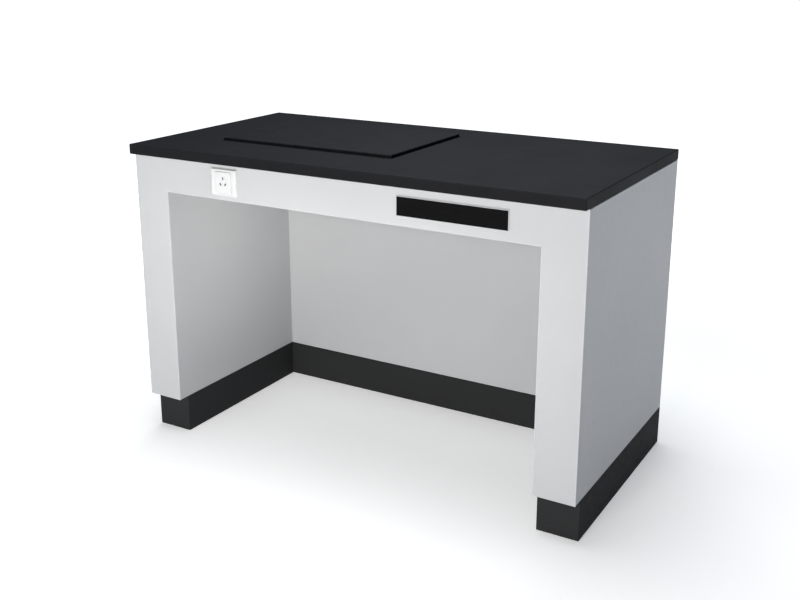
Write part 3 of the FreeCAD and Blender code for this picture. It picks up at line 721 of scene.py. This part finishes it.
# Camera at the photograph's angle
cameraPlan = {"place": (1.295, -2.214, 1.236), "tilt": 74.11, "turn": 30.34, "lens": 47.6,
              "sensor": 36.0, "shift": -0.06}
camera = bpy.data.objects.new("camera", bpy.data.cameras.new("camera"))
bpy.context.scene.collection.objects.link(camera)
camera.location = cameraPlan["place"]
camera.rotation_euler = (math.radians(cameraPlan["tilt"]), 0.0, math.radians(cameraPlan["turn"]))
camera.data.lens = cameraPlan["lens"]
camera.data.sensor_width = cameraPlan["sensor"]
camera.data.shift_y = cameraPlan["shift"]
bpy.context.scene.camera = camera


# Pale floor that brightens away from the table
floorPlan = {"radius": 14.0, "sides": 96, "rough": 0.8, "cloudScale": 8, "dark": (0.80, 0.80, 0.80),
             "pale": (0.83, 0.83, 0.83), "near": 0.9, "far": 2.6, "nearGlow": 0.40, "farGlow": 1.0}


def paleFloor():
    finish = Finish("paleFloor")
    finish.shader.inputs["Roughness"].default_value = floorPlan["rough"]
    cloud = finish.noise(floorPlan["cloudScale"], 3)
    finish.colour(finish.tint(cloud, floorPlan["dark"], floorPlan["pale"]))
    reach = finish.add("ShaderNodeVectorMath")
    reach.operation = "LENGTH"
    finish.link(finish.coords, reach.inputs[0])
    away = finish.range(reach.outputs["Value"], floorPlan["near"], floorPlan["far"])
    glow = finish.range(away, 0.0, 1.0, floorPlan["nearGlow"], floorPlan["farGlow"])
    finish.shader.inputs["Emission Color"].default_value = (1.0, 1.0, 1.0, 1.0)
    finish.link(glow, finish.shader.inputs["Emission Strength"])
    return finish.material


floorMesh = bpy.data.meshes.new("floor")
floorShape = bmesh.new()
bmesh.ops.create_circle(floorShape, cap_ends=True, radius=floorPlan["radius"],
                        segments=floorPlan["sides"])
floorShape.to_mesh(floorMesh)
floorShape.free()
floorMesh.materials.append(paleFloor())
floor = bpy.data.objects.new("floor", floorMesh)
bpy.context.scene.collection.objects.link(floor)


# Soft studio light
def softbox(name, place, target, size, watts, tint=(1.0, 1.0, 1.0), spread=180):
    light = bpy.data.lights.new(name, "AREA")
    light.shape = "RECTANGLE"
    light.size, light.size_y = size
    light.energy = watts
    light.spread = math.radians(spread)
    light.color = tint
    lamp = bpy.data.objects.new(name, light)
    lamp.location = place
    lamp.visible_camera = False
    lamp.rotation_euler = (Vector(target) - Vector(place)).to_track_quat("-Z", "Y").to_euler()
    bpy.context.scene.collection.objects.link(lamp)


warmWhite = (1.0, 0.964, 0.908)
softbox("keyLight", place=(0.35, -3.7, 0.98), target=(0.0, -0.2, 0.34), size=(1.2, 1.8), watts=92,
        tint=warmWhite)
softbox("kneeLight", place=(0.55, -1.15, 0.5), target=(-0.45, -1.0, 0.52), size=(0.2, 0.6), watts=2.5,
        tint=warmWhite)
softbox("wallLight", place=(0.95, -0.80, 0.37), target=(-0.5, -0.10, 0.54), size=(0.25, 0.2), watts=0.37,
        tint=warmWhite, spread=31)
softbox("topLight", place=(-0.2, -0.1, 3.0), target=(-0.1, 0.0, 0.0), size=(2.0, 1.4), watts=60)
softbox("rearLight", place=(-1.0, 3.2, 4.0), target=(0.0, 0.3, 0.4), size=(3.0, 1.6), watts=62)

# Dim blue surroundings that look white to the camera
skyPlan = {"tint": (0.30, 0.64, 1.0, 1.0), "strength": 0.09}
world = bpy.data.worlds.new("studio")
bpy.context.scene.world = world
world.use_nodes = True
sky = world.node_tree
ambient = sky.nodes["Background"]
ambient.inputs["Color"].default_value = skyPlan["tint"]
ambient.inputs["Strength"].default_value = skyPlan["strength"]
white = sky.nodes.new("ShaderNodeBackground")
white.inputs["Color"].default_value = (1.0, 1.0, 1.0, 1.0)
seen = sky.nodes.new("ShaderNodeLightPath")
either = sky.nodes.new("ShaderNodeMixShader")
sky.links.new(seen.outputs["Is Camera Ray"], either.inputs["Fac"])
sky.links.new(ambient.outputs["Background"], either.inputs[1])
sky.links.new(white.outputs["Background"], either.inputs[2])
sky.links.new(either.outputs["Shader"], sky.nodes["World Output"].inputs["Surface"])
bpy.context.scene.view_settings.view_transform = "Standard"
print("stage: camera, floor and light set")
